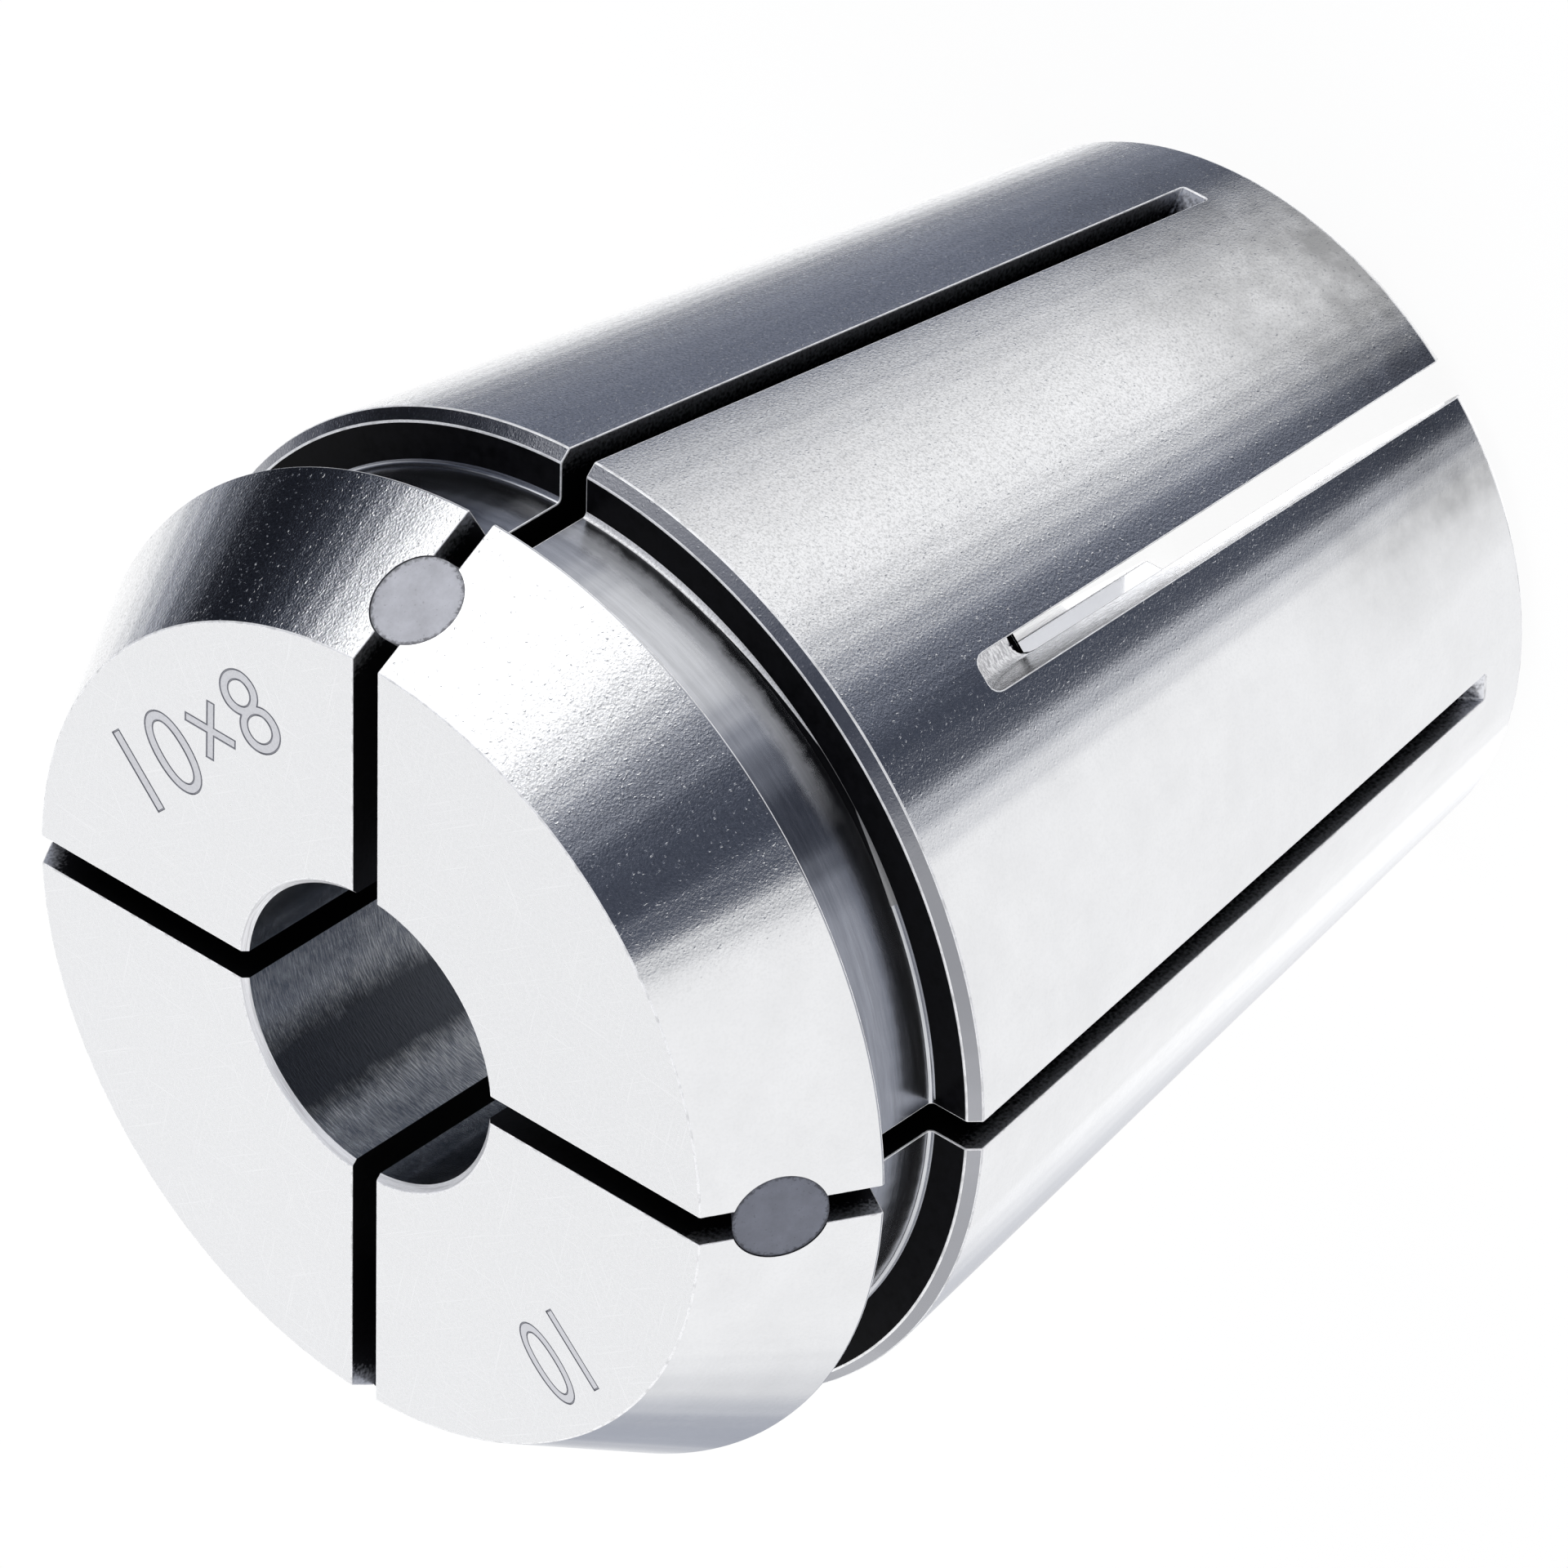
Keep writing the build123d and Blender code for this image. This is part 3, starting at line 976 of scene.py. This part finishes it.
TENT_TOP = [
    (-180, 0.93), (-165, 1.05), (-138, 1.5), (-120, 0.95), (-99, 0.82), (-75, 0.95),
    (-60, 0.25), (-46, 0.12), (-30, 0.12), (-18, 0.18), (-5, 0.35), (8, 0.5),
    (30, 0.65), (42, 0.4), (52, 0.15), (95, 0.1), (112, 0.93),
]

# Where each of those heights passes into the next, as the upward part of a direction
LOW_TO_MIDDLE = (-0.69, -0.61)
MIDDLE_TO_HIGH = (-0.3, -0.08)
HIGH_TO_TOP = (0.4, 0.65)

# How blue the tent's dark parts are
TENT_COOL = 0.45


def tent_ramp(nodes, share, stops):
    """The tent's colour over the directions round the collet, at one height."""
    ramp = nodes.add("ShaderNodeValToRGB")
    ramp.color_ramp.interpolation = "LINEAR"
    elements = ramp.color_ramp.elements
    while len(elements) < len(stops):
        elements.new(1.0)
    for element, (degrees, value) in zip(elements, stops):
        element.position = (degrees + 180) / 360
        cool = TENT_COOL * max(0.0, 1 - value) ** 2
        element.color = (value * (1 - cool / 3), value, value * (1 + cool), 1)
    nodes.link(share, ramp.inputs[0])
    return ramp.outputs["Color"]


def world():
    """Plain white for the camera, and for all else a white tent with dark gaps that the metal mirrors."""
    surround = bpy.data.worlds.new("white_tent")
    surround.use_nodes = True
    bpy.context.scene.world = surround
    nodes = Nodes(surround.node_tree)
    plain = surround.node_tree.nodes["Background"]
    coordinates = nodes.add("ShaderNodeTexCoord")
    parts = nodes.add("ShaderNodeSeparateXYZ")
    nodes.link(coordinates.outputs["Generated"], parts.inputs[0])
    x, y, up = parts.outputs
    share = nodes.mapped(nodes.math("ARCTAN2", y, x), -math.pi, math.pi)
    colour = tent_ramp(nodes, share, TENT_LOW)
    upward = ((LOW_TO_MIDDLE, TENT_MIDDLE), (MIDDLE_TO_HIGH, TENT_HIGH), (HIGH_TO_TOP, TENT_TOP))
    for passing, stops in upward:
        colour = blend(nodes, nodes.mapped(up, *passing), colour, tent_ramp(nodes, share, stops))
    tent = nodes.add("ShaderNodeBackground")
    nodes.link(colour, tent.inputs["Color"])
    plain.inputs["Color"].default_value = (1, 1, 1, 1)
    rays = nodes.add("ShaderNodeLightPath")
    seen = nodes.add("ShaderNodeMixShader")
    nodes.link(rays.outputs["Is Camera Ray"], seen.inputs[0])
    nodes.link(tent.outputs[0], seen.inputs[1])
    nodes.link(plain.outputs[0], seen.inputs[2])
    nodes.link(seen.outputs[0], surround.node_tree.nodes["World Output"].inputs["Surface"])


def lamp(name, azimuth, elevation, distance, size, power):
    """A square soft lamp that looks at the collet and isn't mirrored in it."""
    light = bpy.data.lights.new(name, "AREA")
    light.shape = "SQUARE"
    light.size = size
    light.energy = power
    away = direction(azimuth, elevation)
    place = Vector((0, 0, LENGTH / 2)) + away * distance
    held = hung(name, light, place, (-away).to_track_quat("-Z", "Y"))
    held.visible_glossy = False
    held.visible_camera = False


camera()
floor()
# Glowing discs, painted light, under the collet and in its bore
glowing_disc("glowing_disc_below", radius=taper_radius(0) - 1.5 * MM, level=-0.01 * MM, strength=0.9)
glowing_disc("glowing_disc_in_bore", radius=BORE_RADIUS - 0.1 * MM, level=LENGTH - 12.0 * MM, strength=0.3)
world()
lamp("key_lamp", math.radians(10), math.radians(40), distance=0.5, size=0.3, power=0.4)
lamp("fill_lamp", math.radians(-150), math.radians(50), distance=0.6, size=0.5, power=0.3)
bpy.context.scene.view_settings.view_transform = "Standard"
